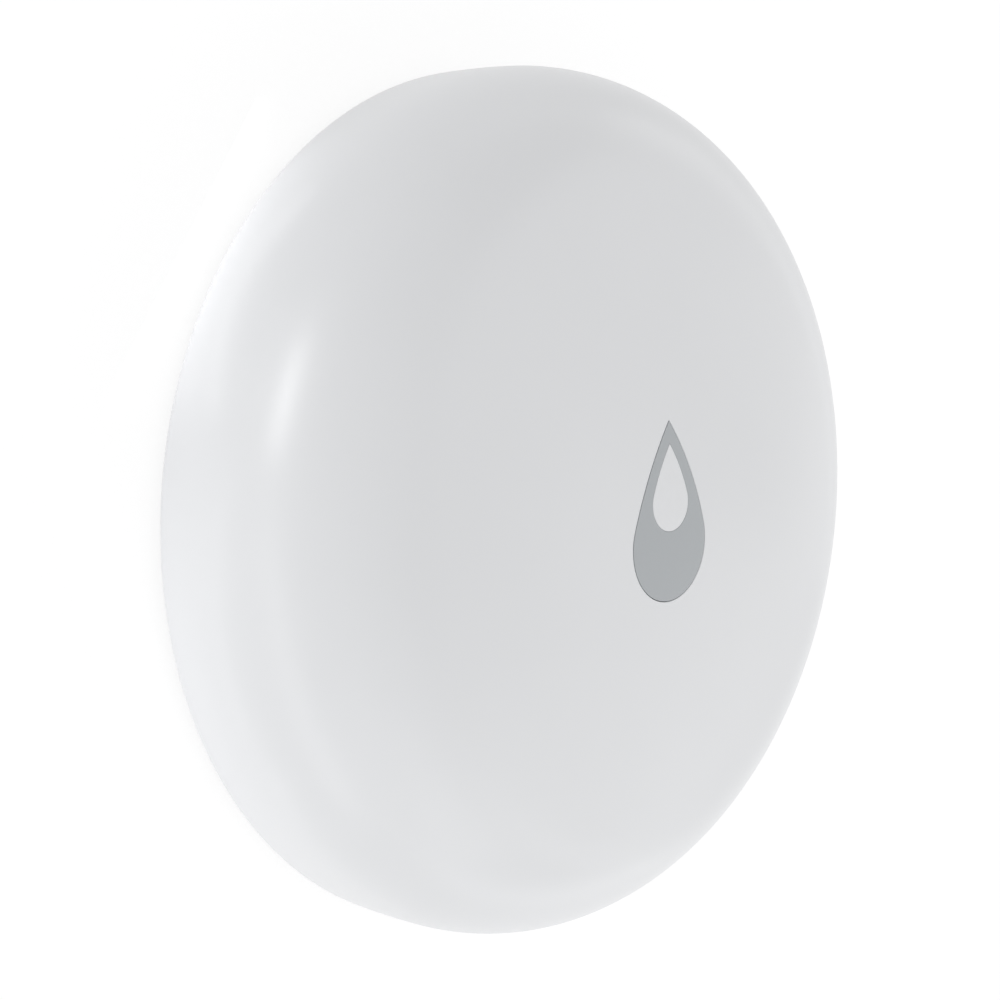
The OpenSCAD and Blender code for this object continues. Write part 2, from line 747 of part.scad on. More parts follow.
// Leaf spring under the board that presses on the cap
module negative_contact() color("#cfc9b4") {
    touch_z = cell_top + seal_gap;
    heel = -leaf_reach - strip_foot;
    tip = 2 * leaf_nose;
    rotate([90, 0, 0]) translate([0, 0, -strip_w / 2]) linear_extrude(strip_w) polygon([
        [heel, board_z], [-leaf_reach, board_z],
        [-leaf_nose, touch_z + strip_t], [leaf_nose, touch_z + strip_t],
        [tip, touch_z + 3 * strip_t], [tip, touch_z + 2 * strip_t],
        [leaf_nose, touch_z], [-leaf_nose, touch_z],
        [-leaf_reach, board_z - strip_t], [heel, board_z - strip_t]
    ]);
}

// Round circuit board on the standoffs and posts
module circuit_board() color("#1f6b46") {
    difference() {
        translate([0, 0, board_z]) cylinder(r = board_r, h = board_t);
        around(4, probe_at)
            translate([0, 0, board_z - over]) cylinder(r = screw_hole_r, h = board_t + 2 * over);
    }
}

// Screws that hold the board, two in the standoffs and two in the posts
module board_screws() color("#b9bbbd") {
    half_z = board_top + screw_head_h / 2;
    around(4, probe_at) difference() {
        union() {
            translate([0, 0, screw_tip]) cylinder(d = screw_d, h = half_z - screw_tip);
            translate([0, 0, board_top]) cylinder(d = screw_head_d, h = half_z - board_top);
            translate([0, 0, half_z])
                cylinder(d1 = screw_head_d, d2 = screw_head_d - screw_head_h, h = screw_head_h / 2);
        }
        cross_slot(half_z, screw_head_d * cross_length, screw_head_h);
    }
}

// Radio and processor in one flat package, with a dimple at its first pin
module radio_chip() color("#26282a") {
    corner = radio_w / 2 - 3 * mark_depth;
    difference() {
        board_chip(radio_turn, parts_at, [radio_w, radio_w, radio_h]);
        rotate(radio_turn) translate([parts_at - corner, corner, board_top + radio_h - mark_depth])
            cylinder(r = mark_depth, h = over);
    }
}

// Quartz crystal: a metal lid on a wider base
module crystal() color("#bfc1c3") {
    rim = 2 * crystal_rim;
    board_chip(crystal_turn, parts_at, [crystal_w, crystal_l, crystal_h]);
    board_chip(crystal_turn, parts_at, [crystal_w - rim, crystal_l - rim, 2 * crystal_h]);
}

// Ceramic antenna near the board's edge
module chip_antenna() color("#e6e2d6") {
    board_chip(antenna_turn, antenna_at, [antenna_w, antenna_l, antenna_h]);
}

// Tantalum capacitor: a moulded body and lower metal end plates
module bulk_capacitor() color("#c98a2b") {
    ends = 2 * bulk_end;
    board_chip(bulk_turn, parts_at, [bulk_w, bulk_l, bulk_w]);
    board_chip(bulk_turn, parts_at, [bulk_w - ends, bulk_l + ends, bulk_w / 2]);
}

// Small ceramic capacitors in a row
module chip_capacitors() color("#b59a6a") {
    for (i = [0 : capacitors - 1])
        board_chip(capacitor_turn + i * small_step, parts_at, [small_l, small_w, small_w]);
}

// Small resistors in a row
module chip_resistors() color("#303234") {
    for (i = [0 : resistors - 1])
        board_chip(resistor_turn + i * small_step, parts_at, [small_l, small_w, resistor_h]);
}

// Light-emitting diode under the window: a base and a lens
module status_led() color("#f4f0dc") {
    chip([0, window_bulb_fwd], [led_w, led_w / 2, led_h], board_top);
    translate([0, window_bulb_fwd, board_top + led_h])
        cylinder(r1 = led_w / 5, r2 = led_w / 7, h = led_h);
}

// Plastic body of the push switch, hollow where the stem moves
module switch_body() color("#2b2d2f") {
    difference() {
        chip([0, -switch_back], [switch_w, switch_l, switch_h - switch_plate_t], board_top);
        translate([0, -switch_back, board_top + switch_h - stem_depth - key_travel - fit_gap])
            cylinder(d = stem_d + 2 * fit_gap, h = switch_h);
    }
}

// Metal top plate of the push switch
module switch_plate() color("#b4b6b8") {
    plate_z = board_top + switch_h - switch_plate_t;
    difference() {
        chip([0, -switch_back], [switch_w, switch_l, switch_plate_t], plate_z);
        translate([0, -switch_back, board_top]) cylinder(d = stem_d + 2 * fit_gap, h = 2 * switch_h);
    }
}

// Stem of the push switch
module switch_stem() color("#efe9dc") {
    translate([0, -switch_back, stem_top - stem_h - stem_depth])
        cylinder(d = stem_d, h = stem_h + stem_depth);
}

top_cover();
drop_key();
light_window();
key_membrane();
membrane_retainer();
base_plate();
case_seal();
rubber_feet();
probe_screws();
probe_seals();
probe_standoffs();
battery_cover();
battery_cover_seal();
coin_cell_can();
coin_cell_gasket();
coin_cell_cap();
positive_contact();
negative_contact();
circuit_board();
board_screws();
radio_chip();
crystal();
chip_antenna();
bulk_capacitor();
chip_capacitors();
chip_resistors();
status_led();
switch_body();
switch_plate();
switch_stem();
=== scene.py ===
import math

import bpy
import numpy as np
from mathutils import Matrix, Vector


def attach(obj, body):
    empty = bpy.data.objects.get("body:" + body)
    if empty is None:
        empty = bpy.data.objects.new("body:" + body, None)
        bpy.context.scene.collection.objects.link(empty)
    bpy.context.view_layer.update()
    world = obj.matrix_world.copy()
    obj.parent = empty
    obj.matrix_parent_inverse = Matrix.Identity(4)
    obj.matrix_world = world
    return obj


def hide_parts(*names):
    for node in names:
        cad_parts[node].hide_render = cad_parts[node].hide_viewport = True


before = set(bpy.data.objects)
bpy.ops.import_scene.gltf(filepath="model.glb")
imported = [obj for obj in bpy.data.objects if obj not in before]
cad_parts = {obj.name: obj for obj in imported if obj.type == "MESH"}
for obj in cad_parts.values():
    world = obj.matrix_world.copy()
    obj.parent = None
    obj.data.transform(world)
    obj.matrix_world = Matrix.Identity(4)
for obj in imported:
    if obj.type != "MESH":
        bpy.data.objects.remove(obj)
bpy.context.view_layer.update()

# Top cover.
# One shell of glossy white ABS, injection moulded with no seam: a shallow dome, a full shoulder, a wall that bulges
# slightly and a rounded lower edge. The drop-shaped opening in its middle takes the key.
MM = 0.001
AROUND = 384
BODY_R, TOP_Z, BELLY_Z, RIM_Z = 25.0, 15.0, 4.6, 0.4
SHOULDER_R, SIDE_R, LOWER_EDGE_R, WALL = 8.7, 40.0, 0.8, 1.8
BORE_R, LEDGE_Z, RIM_BREAK = 22.7, 4.4, 0.12
SEAT_R, SEAT_Z = (6.25, 7.7), 12.297
RIVET_R, RIVET_AT, RIVET_HEAD, RIVET_Z = 0.6, 8.9, 1.1, (10.497, 10.997, 13.6)
RIVET_TURNS = (30, 150, 270)
CROWN_R, INSIDE_R = 9.0, (14.0, 10.0)
OPENING = dict(tip=5.4, bulb=-1.5, bulb_r=3.25, flank_r=19.0)
OPENING_EDGE_R, EDGE_STEPS = 0.04, 4
SHARP_ANGLE = 40
SHOULDER_C = BODY_R - SHOULDER_R
RISE = TOP_Z - BELLY_Z
DOME_R = (SHOULDER_C**2 + RISE**2 - SHOULDER_R**2) / (2 * (RISE - SHOULDER_R))
DOME_Z = TOP_Z - DOME_R
MEET = math.atan2(BELLY_Z - DOME_Z, SHOULDER_C)


def linear(hex_colour):
    """An sRGB hex colour as the linear red, green, blue and alpha that a shader reads."""
    v = np.array([int(hex_colour[i : i + 2], 16) for i in (1, 3, 5)]) / 255
    return (*np.where(v <= 0.04045, v / 12.92, ((v + 0.055) / 1.055) ** 2.4), 1.0)


def add_node(tree, kind, sockets=None, **settings):
    """Adds a node with its settings; a socket takes a plain value, or a link from another node's output."""
    node = tree.nodes.new(kind)
    for name, value in settings.items():
        setattr(node, name, value)
    for socket, value in (sockets or {}).items():
        if isinstance(value, bpy.types.NodeSocket):
            tree.links.new(value, node.inputs[socket])
        else:
            node.inputs[socket].default_value = value
    return node


def drop_outline(tip, bulb, bulb_r, flank_r, grow=0.0):
    """Points spaced evenly along a drop's outline, clockwise from its tip on +Y, as x and y in mm.

    A circle of radius bulb_r about (0, bulb) is the round end. Two flank circles of radius flank_r touch it from
    inside and cross at (0, tip): with lean the angle between +Y and a flank's middle seen from the bulb's,
    cos(lean) = (reach^2 - 2 flank_r bulb_r + bulb_r^2) / (2 reach (flank_r - bulb_r)). Grow moves the outline out.
    """
    reach, arm = tip - bulb, flank_r - bulb_r
    lean = math.acos((reach**2 - 2 * flank_r * bulb_r + bulb_r**2) / (2 * reach * arm))
    fx, fy, touch = arm * math.sin(lean), bulb + arm * math.cos(lean), lean - math.pi / 2
    flank, end = flank_r + grow, bulb_r + grow
    tip_angle = math.acos(fx / flank)
    flank_run, end_run = flank * (tip_angle - touch), end * (math.pi + 2 * touch)
    s = np.linspace(0, 2 * flank_run + end_run, AROUND, endpoint=False)
    side = np.where(s > flank_run + end_run / 2, -1.0, 1.0)
    s = np.minimum(s, 2 * flank_run + end_run - s)
    a, b = tip_angle - s / flank, touch - (s - flank_run) / end
    on_flank = s < flank_run
    x = np.where(on_flank, flank * np.cos(a) - fx, end * np.cos(b))
    y = np.where(on_flank, fy + flank * np.sin(a), bulb + end * np.sin(b))
    return np.stack([side * x, y], -1)


def circle(r, around=AROUND):
    """Points spaced evenly around a circle of radius r, clockwise from +Y, as x and y in mm."""
    turn = np.linspace(0, 2 * np.pi, around, endpoint=False)
    return r * np.stack([np.sin(turn), np.cos(turn)], -1)


def dome_height(plan, inset=0.0):
    """Height of the dome's sphere, taken in by inset, over points of the plan."""
    return DOME_Z + np.sqrt((DOME_R - inset) ** 2 - (plan**2).sum(-1))


def level(plan, z):
    """A ring of points: the plan's x and y at a height, or at a height for each point."""
    return np.concatenate([plan, np.broadcast_to(z, plan.shape[:-1])[..., None]], -1)


def spread(start, stop, shares):
    """Plans between two outlines, one for each share of the way from the first to the second."""
    return start + (stop - start) * np.asarray(shares, float)[:, None, None]


def turned(profile, at=(0.0, 0.0), around=AROUND):
    """Rings made by carrying a profile of radii and heights around a vertical axis."""
    profile = np.asarray(profile, float)
    rings = level(profile[:, :1, None] * circle(1.0, around), profile[:, 1:])
    return rings + np.array([*at, 0.0])


def skin(rings, wrap):
    """Points and faces of a closed skin through rings of points: the last ring joins the first one, or each end
    closes on its middle. Faces are turned so that the volume inside, the sum of a . (b x c) / 6, is positive."""
    count, around = rings.shape[:2]
    points = rings.reshape(-1, 3)
    index = np.arange(count * around).reshape(count, around)
    low, high = (index, np.roll(index, -1, 0)) if wrap else (index[:-1], index[1:])
    quads = np.stack([low, np.roll(low, -1, 1), np.roll(high, -1, 1), high], -1).reshape(-1, 4)
    fans = np.zeros((0, 3), int)
    if not wrap:
        points = np.concatenate([points, rings[[0, -1]].mean(1)])
        first, last, n = index[0], index[-1], count * around
        fans = np.concatenate([
            np.stack([np.roll(first, -1), first, np.full(around, n)], -1),
            np.stack([last, np.roll(last, -1), np.full(around, n + 1)], -1),
        ])
    triangles = np.concatenate([quads[:, [0, 1, 2]], quads[:, [0, 2, 3]], fans])
    a, b, c = (points[triangles[:, i]] for i in range(3))
    if (a * np.cross(b, c)).sum() < 0:
        quads, fans = quads[:, ::-1], fans[:, ::-1]
    return points, quads.tolist() + fans.tolist()


def make_piece(name, skins, material):
    """One object from closed skins in mm, with smooth shading that breaks at edges past SHARP_ANGLE degrees."""
    points, faces, start = [], [], 0
    for skin_points, skin_faces in skins:
        points.append(skin_points)
        faces += [[start + i for i in face] for face in skin_faces]
        start += len(skin_points)
    mesh = bpy.data.meshes.new(name)
    mesh.from_pydata((np.concatenate(points) * MM).tolist(), [], faces)
    mesh.polygons.foreach_set("use_smooth", np.ones(len(faces), bool))
    mesh.set_sharp_from_angle(angle=math.radians(SHARP_ANGLE))
    mesh.materials.append(material)
    mesh.validate()
    piece = bpy.data.objects.new(name, mesh)
    bpy.context.scene.collection.objects.link(piece)
    return piece


def bare_material(name):
    """A new material with no nodes yet, and its node tree."""
    material = bpy.data.materials.new(name)
    material.use_nodes = True
    material.node_tree.nodes.clear()
    return material, material.node_tree


def quarter(steps):
    """Cosines and sines of angles from 0 to 90 degrees, for a rounded edge."""
    a = np.linspace(0, np.pi / 2, steps + 1)
    return np.stack([np.cos(a), np.sin(a)], -1)


def cover_rings():
    """The shell as rings from the opening over the dome, shoulder, belly and rim, and back along the inside.

    The dome is a sphere and the shoulder a circle that touches it. The wall is a circle of radius SIDE_R that leaves
    the shoulder upright, and the lower edge touches it: its middle is SIDE_R - LOWER_EDGE_R from the wall's. From the
    opening to CROWN_R, the rings change evenly from the drop's outline to a circle; all the others are circles.
    """
    edge = quarter(EDGE_STEPS)
    lip = [drop_outline(**OPENING, grow=OPENING_EDGE_R * (1 - c)) for c, s in edge]
    rings = [level(p, dome_height(p) - OPENING_EDGE_R * (1 - s)) for p, (c, s) in zip(lip, edge)]
    plans = spread(lip[-1], circle(CROWN_R), [0.004, 0.015, 0.04, 0.1, 0.2, 0.32, 0.45, 0.6, 0.8, 1.0])
    rings += [level(p, dome_height(p)) for p in plans]
    angle = np.linspace(math.acos(CROWN_R / DOME_R), MEET, 14)[1:]
    rings += list(turned(np.stack([DOME_R * np.cos(angle), DOME_Z + DOME_R * np.sin(angle)], -1)))
    angle = np.linspace(MEET, 0, 29)[1:]
    out = np.stack([np.cos(angle), np.sin(angle)], -1)
    rings += list(turned([SHOULDER_C, BELLY_Z] + SHOULDER_R * out))
    wall_middle, edge_z = np.array([BODY_R - SIDE_R, BELLY_Z]), RIM_Z + LOWER_EDGE_R
    end = math.asin((BELLY_Z - edge_z) / (SIDE_R - LOWER_EDGE_R))
    angle = np.linspace(0, end, 13)[1:]
    rings += list(turned(wall_middle + SIDE_R * np.stack([np.cos(angle), -np.sin(angle)], -1)))
    edge_middle = wall_middle + (SIDE_R - LOWER_EDGE_R) * np.array([math.cos(end), -math.sin(end)])
    angle = np.linspace(end, np.pi / 2, 11)[1:]
    rings += list(turned(edge_middle + LOWER_EDGE_R * np.stack([np.cos(angle), -np.sin(angle)], -1)))
    broken = [BORE_R + RIM_BREAK, RIM_Z + RIM_BREAK] - RIM_BREAK * quarter(EDGE_STEPS)[::-1]
    rings += list(turned(broken))
    inner = SHOULDER_R - WALL
    rings += list(turned([(BORE_R, LEDGE_Z), (SHOULDER_C + inner, LEDGE_Z), (SHOULDER_C + inner, BELLY_Z)]))
    rings += list(turned([SHOULDER_C, BELLY_Z] + inner * out[-2::-1]))
    for r in (*INSIDE_R, SEAT_R[1]):
        rings.append(level(circle(r), dome_height(circle(r), WALL)))
    rings += list(turned([(SEAT_R[1], SEAT_Z), (SEAT_R[0], SEAT_Z)]))
    plans = spread(circle(SEAT_R[0]), lip[0], [0.0, 0.5, 1.0])
    rings += [level(p, dome_height(p, WALL)) for p in plans]
    return np.stack(rings)


def rivet_rings(turn):
    """A rivet of the cover: a shank that a heated tool has spread into a conical head at its lower end."""
    at = (RIVET_AT * math.cos(turn), RIVET_AT * math.sin(turn))
    low, high, top = RIVET_Z
    return turned([(RIVET_R, low), (RIVET_HEAD, high), (RIVET_R, high), (RIVET_R, top)], at, around=48)


# Glossy ABS from a polished mould: an even white with a clear reflection that ripples very slightly.
abs_gloss, tree = bare_material("white_gloss_abs")
spot = add_node(tree, "ShaderNodeTexCoord").outputs["Object"]
flow = add_node(tree, "ShaderNodeTexNoise", {"Vector": spot, "Scale": 1 / (9 * MM), "Detail": 2.0}).outputs["Fac"]
haze = add_node(tree, "ShaderNodeTexNoise", {"Vector": spot, "Scale": 1 / (0.5 * MM), "Detail": 3.0}).outputs["Fac"]
tone = add_node(tree, "ShaderNodeMix", {0: flow, 6: linear("#E5E6E8"), 7: linear("#E8E9EB")}, data_type="RGBA")
gloss = add_node(tree, "ShaderNodeMapRange", {"Value": haze, "To Min": 0.28, "To Max": 0.34})
ripple = add_node(tree, "ShaderNodeBump", {"Height": flow, "Strength": 0.1, "Distance": 0.03 * MM})
shader = add_node(tree, "ShaderNodeBsdfPrincipled", {
    "Base Color": tone.outputs[2], "Roughness": gloss.outputs[0], "IOR": 1.53, "Normal": ripple.outputs[0],
})
add_node(tree, "ShaderNodeOutputMaterial", {"Surface": shader.outputs[0]})

rivets = [skin(rivet_rings(math.radians(a)), wrap=False) for a in RIVET_TURNS]
cover_shell = make_piece("cover_shell", [skin(cover_rings(), wrap=True), *rivets], abs_gloss)
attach(cover_shell, "housing")
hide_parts("top_cover")

# Drop key.
# A grey moulded drop that lies flush in the dome, with a flange under the cover that keeps it in. A smaller
# drop-shaped opening near its tip takes the light window.
KEY_GAP, KEY_EDGE_R = 0.04, 0.02
KEY_FLANGE_R, KEY_FLANGE_Z = 5.9, (12.297, 12.897)
WINDOW = dict(tip=4.1, bulb=0.8, bulb_r=1.6, flank_r=11.0)


def key_rings():
    """The key as rings from the window's opening over its top to its own edge, down to the flange and back below."""
    edge = quarter(EDGE_STEPS)
    hole = [drop_outline(**WINDOW, grow=KEY_EDGE_R * (1 - c)) for c, s in edge]
    rim = [drop_outline(**OPENING, grow=-KEY_GAP - KEY_EDGE_R * (1 - s)) for c, s in edge]
    rings = [level(p, dome_height(p) - KEY_EDGE_R * (1 - s)) for p, (c, s) in zip(hole, edge)]
    plans = spread(hole[-1], rim[0], [0.01, 0.05, 0.2, 0.4, 0.6, 0.8, 0.95, 0.99])
    rings += [level(p, dome_height(p)) for p in plans]
    rings += [level(p, dome_height(p) - KEY_EDGE_R * (1 - c)) for p, (c, s) in zip(rim, edge)]
    low, high = KEY_FLANGE_Z
    rings += [level(rim[-1], high), level(circle(KEY_FLANGE_R), high), level(circle(KEY_FLANGE_R), low)]
    rings.append(level(hole[0], low))
    return np.stack(rings)


def moulded_finish(name, tones, rough, grain, depth, ior):
    """A moulded plastic or rubber. A noise with grains of a size in mm moves the colour between two tones and the
    roughness between two values, and lifts the surface by a depth in mm."""
    material, tree = bare_material(name)
    spot = add_node(tree, "ShaderNodeTexCoord").outputs["Object"]
    grains = add_node(tree, "ShaderNodeTexNoise", {"Vector": spot, "Scale": 1 / (grain * MM), "Detail": 3.0})
    grains = grains.outputs["Fac"]
    tone = add_node(tree, "ShaderNodeMix", {0: grains, 6: linear(tones[0]), 7: linear(tones[1])}, data_type="RGBA")
    dull = add_node(tree, "ShaderNodeMapRange", {"Value": grains, "To Min": rough[0], "To Max": rough[1]})
    lift = add_node(tree, "ShaderNodeBump", {"Height": grains, "Strength": 0.5, "Distance": depth * MM})
    shader = add_node(tree, "ShaderNodeBsdfPrincipled", {
        "Base Color": tone.outputs[2], "Roughness": dull.outputs[0], "IOR": ior, "Normal": lift.outputs[0],
    })
    add_node(tree, "ShaderNodeOutputMaterial", {"Surface": shader.outputs[0]})
    return material


# Satin grey ABS from a lightly blasted mould: a fine, even grain that dulls the reflection.
abs_grey = moulded_finish("grey_satin_abs", ("#ACB0B3", "#B0B4B7"), (0.36, 0.46), 0.12, 0.003, 1.53)
grey_drop = make_piece("grey_drop", [skin(key_rings(), wrap=True)], abs_grey)
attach(grey_drop, "drop_button")
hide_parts("drop_key")

# Light window.
# A small milky drop of polycarbonate, moulded into the key and flush with it, that spreads the status light.
WINDOW_GAP, WINDOW_MIDDLE = 0.012, (0.0, 1.4)


def window_rings():
    """The window as rings: its bottom from the middle out, its wall, its rounded edge and its top back in."""
    edge = quarter(EDGE_STEPS)
    wall = [drop_outline(**WINDOW, grow=-WINDOW_GAP - KEY_EDGE_R * (1 - c)) for c, s in edge]
    middle = np.array(WINDOW_MIDDLE)
    rings = [level(p, KEY_FLANGE_Z[0]) for p in spread(middle, wall[0], [0.1, 0.6, 1.0])]
    rings += [level(p, dome_height(p) - KEY_EDGE_R * (1 - s)) for p, (c, s) in zip(wall, edge)]
    rings += [level(p, dome_height(p)) for p in spread(wall[-1], middle, [0.02, 0.1, 0.3, 0.6, 0.9])]
    return np.stack(rings)


# Milky polycarbonate: as white as the cover while no light shines through it, and faintly clouded.
milky_pc = moulded_finish("milky_polycarbonate", ("#E4E5E7", "#E8E9EB"), (0.28, 0.34), 0.8, 0.001, 1.58)
milky_window = make_piece("milky_window", [skin(window_rings(), wrap=False)], milky_pc)
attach(milky_window, "drop_button")
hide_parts("light_window")

# Key seal.
# A silicone sheet under the key keeps water out, with a nub that stands on the switch's stem. A moulded ring on
# the cover's three rivets clamps the sheet's edge.


def dress(node, material):
    """Gives a CAD node its finish in place of the plain one it came with."""
    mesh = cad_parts[node].data
    mesh.materials.clear()
    mesh.materials.append(material)


# Clear silicone, cast thin: greyish, soft and slightly uneven.
silicone = moulded_finish("clear_silicone", ("#C6CACC", "#D5D8DA"), (0.40, 0.52), 1.2, 0.004, 1.41)
# ABS from a spark-eroded mould: white, with a fine even tooth that leaves no clear reflection.
abs_textured = moulded_finish("white_textured_abs", ("#DEDFE1", "#E6E7E8"), (0.50, 0.62), 0.14, 0.012, 1.53)
dress("key_membrane", silicone)
dress("membrane_retainer", abs_textured)

# Base plate.
# The white ABS moulding that closes the cover from below: it carries the battery bay, the probes' sinks, the
# feet's pockets, two screw posts and the hooks that snap behind the cover's ledge.
dress("base_plate", abs_textured)

# Seal rings.
# Round rings of silicone, and of black rubber under the probes: one in the base plate's edge, one in the battery
# cover's flange and one on each probe's shank.
CASE_SEAL, COVER_SEAL, PROBE_SEAL = (22.23, 0.9, 1.4), (12.98, 0.72, 1.22), (1.52, 0.4, 1.3)
PROBE_AT = 17.825


def seal_rings(r, thick, z, at=(0.0, 0.0), around=256):
    """A ring with a round section: a circle of the given thickness carried around the axis at radius r."""
    a = np.linspace(0, 2 * np.pi, 24, endpoint=False)
    return turned([r, z] + thick / 2 * np.stack([np.cos(a), np.sin(a)], -1), at, around)


# Black nitrile rubber: dark and dull, with a faint bloom.
rubber = moulded_finish("black_nitrile_rubber", ("#1D1E20", "#2A2B2D"), (0.55, 0.70), 0.3, 0.004, 1.5)
probe_places = [(PROBE_AT, 0.0), (-PROBE_AT, 0.0)]
shank_seals = [seal_rings(*PROBE_SEAL, at, 96) for at in probe_places]
for name, node, rings, body, slot, material in (
    ("case_ring", "case_seal", [seal_rings(*CASE_SEAL)], "housing", "silicone_clear", silicone),
    ("cover_ring", "battery_cover_seal", [seal_rings(*COVER_SEAL)], "battery_door", "silicone_clear", silicone),
    ("shank_rings", "probe_seals", shank_seals, "housing", "seal_black", rubber),
):
    piece = make_piece(name, [skin(r, wrap=True) for r in rings], material)
    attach(piece, body)
    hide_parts(node)

# Feet.
# Four soft pads, stamped from grey rubber sheet with a rounded edge and glued into the base plate's pockets.
FOOT_R, FOOT_TOP, FOOT_EDGE_R, FOOT_TOP_EDGE_R, FOOT_MIDDLE_R = 2.0, 0.9, 0.25, 0.08, 0.3
FOOT_PLACES = [(x * PROBE_AT * math.sqrt(0.5), y * PROBE_AT * math.sqrt(0.5)) for x in (-1, 1) for y in (-1, 1)]


def rounded(corners, radii, steps=6):
    """An open profile of radii and heights whose corners are rounded. With u and w the directions from a corner to
    its neighbours and h half the angle between them, an arc of radius r starts r / tan(h) along u and ends as far
    along w."""
    corners = np.asarray(corners, float)
    points = [corners[:1]]
    for before, here, after, r in zip(corners, corners[1:], corners[2:], radii):
        u, w = ((end - here) / np.linalg.norm(end - here) for end in (before, after))
        half = math.acos(np.clip(u @ w, -1, 1)) / 2
        middle = here + (u + w) / np.linalg.norm(u + w) * r / math.sin(half)
        sweep = np.pi - 2 * half
        start, stop = (here + v * r / math.tan(half) - middle for v in (u, w))
        t = np.linspace(0, 1, steps + 1 if r else 1)[:, None]
        points.append(middle + (np.sin((1 - t) * sweep) * start + np.sin(t * sweep) * stop) / math.sin(sweep))
    return np.concatenate([*points, corners[-1:]])


def foot_rings(at):
    """A foot: a flat disc with a rounded lower edge, from the middle of its sole to the middle of its top."""
    side = [(FOOT_MIDDLE_R, 0.0), (FOOT_R, 0.0), (FOOT_R, FOOT_TOP), (FOOT_MIDDLE_R, FOOT_TOP)]
    return turned(rounded(side, (FOOT_EDGE_R, FOOT_TOP_EDGE_R)), at, around=72)


# Grey thermoplastic rubber: pale, dull and slightly dusty.
foot_rubber = moulded_finish("grey_soft_rubber", ("#B9BABC", "#C6C7C9"), (0.70, 0.85), 0.25, 0.01, 1.5)
foot_pads = make_piece("foot_pads", [skin(foot_rings(at), wrap=False) for at in FOOT_PLACES], foot_rubber)
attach(foot_pads, "housing")
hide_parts("rubber_feet")

# Probes.
# Two stainless screws through the base plate. Their heads stand a little out of it and sense water, and their
# shanks go into the standoffs.
PROBE_HEAD_R, PROBE_HEAD_Z, PROBE_EDGE_R = 2.1, (0.2, 1.1), 0.3
PROBE_SHANK_R, PROBE_TIP_Z, PROBE_TIP_R = 1.25, 4.0, 0.2
PROBE_BACK_EDGE_R, PROBE_TIP_EDGE_R = 0.06, 0.15
PROBE_FACE_R = PROBE_HEAD_R - PROBE_EDGE_R - 0.01
CROSS_HALF_L, CROSS_HALF_W, CROSS_DEPTH, CROSS_SLOPE = 1.26, 0.25, 0.45, 0.09


def probe_rings(at):
    """A screw from the middle of its face out over the head's rounded edge and up the shank to its tip. The cross is
    cut to a depth that grows over a short slope with the distance inside the outline of two crossed bars."""
    plan = np.linspace(0.03, PROBE_FACE_R - 0.01, 56)[:, None, None] * circle(1.0, 192)
    x, y = np.abs(plan[..., 0]), np.abs(plan[..., 1])
    inside = np.maximum(
        np.minimum(CROSS_HALF_L - x, CROSS_HALF_W - y), np.minimum(CROSS_HALF_W - x, CROSS_HALF_L - y)
    )
    low, high = PROBE_HEAD_Z
    face = level(plan, low + CROSS_DEPTH * np.clip(inside / CROSS_SLOPE, 0, 1)) + np.array([*at, 0.0])
    side = [
        (PROBE_FACE_R, low), (PROBE_HEAD_R, low), (PROBE_HEAD_R, high),
        (PROBE_SHANK_R, high), (PROBE_SHANK_R, PROBE_TIP_Z), (PROBE_TIP_R, PROBE_TIP_Z),
    ]
    radii = (PROBE_EDGE_R, PROBE_BACK_EDGE_R, 0.0, PROBE_TIP_EDGE_R)
    return np.concatenate([face, turned(rounded(side, radii), at, 192)])


def turned_finish(name, tones, rough, pitch, depth):
    """A bare metal with the rings that a lathe tool leaves about each probe's axis: a sine of the distance from that
    axis, with a pitch in mm, over a noise that breaks up the shine."""
    material, tree = bare_material(name)
    spot = add_node(tree, "ShaderNodeTexCoord").outputs["Object"]
    one_side = add_node(tree, "ShaderNodeVectorMath", {0: spot}, operation="ABSOLUTE").outputs[0]
    centred = add_node(tree, "ShaderNodeVectorMath", {0: one_side, 1: (PROBE_AT * MM, 0, 0)}, operation="SUBTRACT")
    flat = add_node(tree, "ShaderNodeVectorMath", {0: centred.outputs[0], 1: (1, 1, 0)}, operation="MULTIPLY")
    away = add_node(tree, "ShaderNodeVectorMath", {0: flat.outputs[0]}, operation="LENGTH").outputs["Value"]
    phase = add_node(tree, "ShaderNodeMath", {0: away, 1: 2 * math.pi / (pitch * MM)}, operation="MULTIPLY")
    groove = add_node(tree, "ShaderNodeMath", {0: phase.outputs[0]}, operation="SINE").outputs[0]
    smear = add_node(tree, "ShaderNodeTexNoise", {"Vector": spot, "Scale": 1 / (0.4 * MM)}).outputs["Fac"]
    tone = add_node(tree, "ShaderNodeMix", {0: smear, 6: linear(tones[0]), 7: linear(tones[1])}, data_type="RGBA")
    dull = add_node(tree, "ShaderNodeMapRange", {"Value": smear, "To Min": rough[0], "To Max": rough[1]})
    lift = add_node(tree, "ShaderNodeBump", {"Height": groove, "Strength": 0.4, "Distance": depth * MM})
    shader = add_node(tree, "ShaderNodeBsdfPrincipled", {
        "Base Color": tone.outputs[2], "Metallic": 1.0, "Roughness": dull.outputs[0], "Normal": lift.outputs[0],
    })
    add_node(tree, "ShaderNodeOutputMaterial", {"Surface": shader.outputs[0]})
    return material


# Stainless steel, turned: bright and slightly warm, with rings drawn at 0.12 mm so that they show.
stainless = turned_finish("turned_stainless", ("#C9CACB", "#D6D6D5"), (0.20, 0.34), 0.12, 0.004)
probe_heads = make_piece("probe_heads", [skin(probe_rings(at), wrap=False) for at in probe_places], stainless)
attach(probe_heads, "housing")
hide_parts("probe_screws")

# Standoffs.
# Two hexagonal brass standoffs on the base plate that carry the board and lead the probes' current to it.
# Turned brass: yellow with a soft shine and darker where it has begun to tarnish.
dress("probe_standoffs", turned_finish("turned_brass", ("#C79F4F", "#D9B96C"), (0.24, 0.40), 0.12, 0.004))

